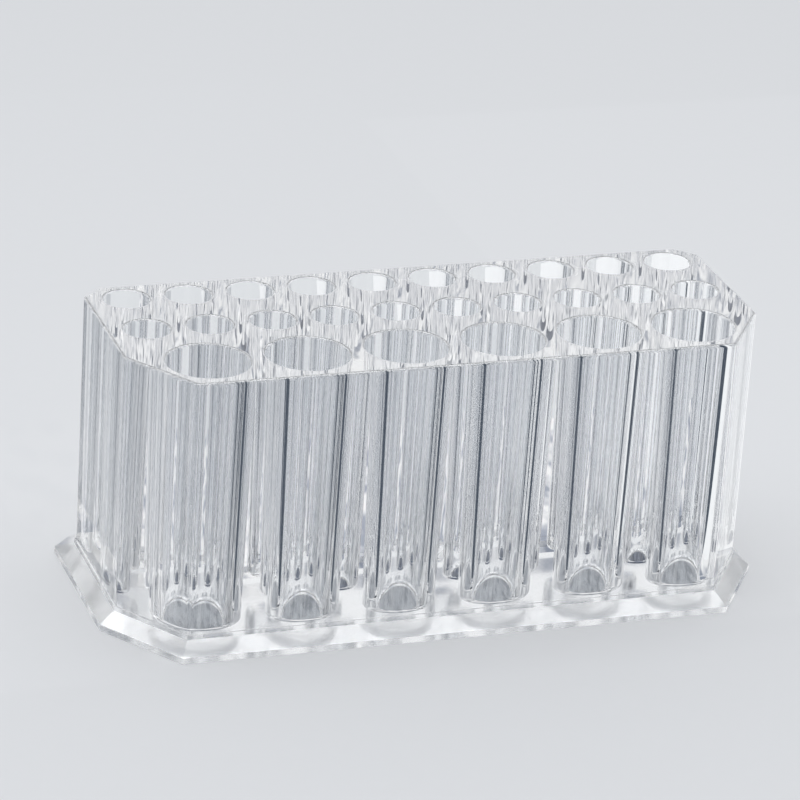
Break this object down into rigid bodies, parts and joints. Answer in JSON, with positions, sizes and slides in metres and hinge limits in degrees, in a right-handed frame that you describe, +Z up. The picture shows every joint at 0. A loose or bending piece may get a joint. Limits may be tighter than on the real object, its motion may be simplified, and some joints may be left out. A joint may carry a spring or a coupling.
{
  "type": "vanity organizer",
  "caption": "Clear eight-sided desktop organizer with rows of round slots for brushes, pencils and tubes, standing on a bevelled base.",
  "frame": {"origin": "middle of the underside of the base", "axes": "+X along the rows of slots, +Y from the front to the back, +Z up"},
  "size_m": [0.2104, 0.0876, 0.0878],
  "materials": {
    "base_plastic": "polished clear acrylic",
    "body_plastic": "polished clear acrylic",
    "tube_plastic": "polished clear acrylic"
  },
  "bodies": {
    "root": {"base_plate": "base_plastic", "front_wall": "body_plastic", "front_cradle": "body_plastic", "rear_cradle": "body_plastic", "back_wall": "body_plastic", "front_tube_01": "tube_plastic", "front_tube_02": "tube_plastic", "front_tube_03": "tube_plastic", "front_tube_04": "tube_plastic", "front_tube_05": "tube_plastic", "front_tube_06": "tube_plastic", "middle_tube_01": "tube_plastic", "middle_tube_02": "tube_plastic", "middle_tube_03": "tube_plastic", "middle_tube_04": "tube_plastic", "middle_tube_05": "tube_plastic", "middle_tube_06": "tube_plastic", "middle_tube_07": "tube_plastic", "middle_tube_08": "tube_plastic", "middle_tube_09": "tube_plastic", "middle_tube_10": "tube_plastic", "back_tube_01": "tube_plastic", "back_tube_02": "tube_plastic", "back_tube_03": "tube_plastic", "back_tube_04": "tube_plastic", "back_tube_05": "tube_plastic", "back_tube_06": "tube_plastic", "back_tube_07": "tube_plastic", "back_tube_08": "tube_plastic", "back_tube_09": "tube_plastic", "back_tube_10": "tube_plastic"}
  },
  "joints": []
}
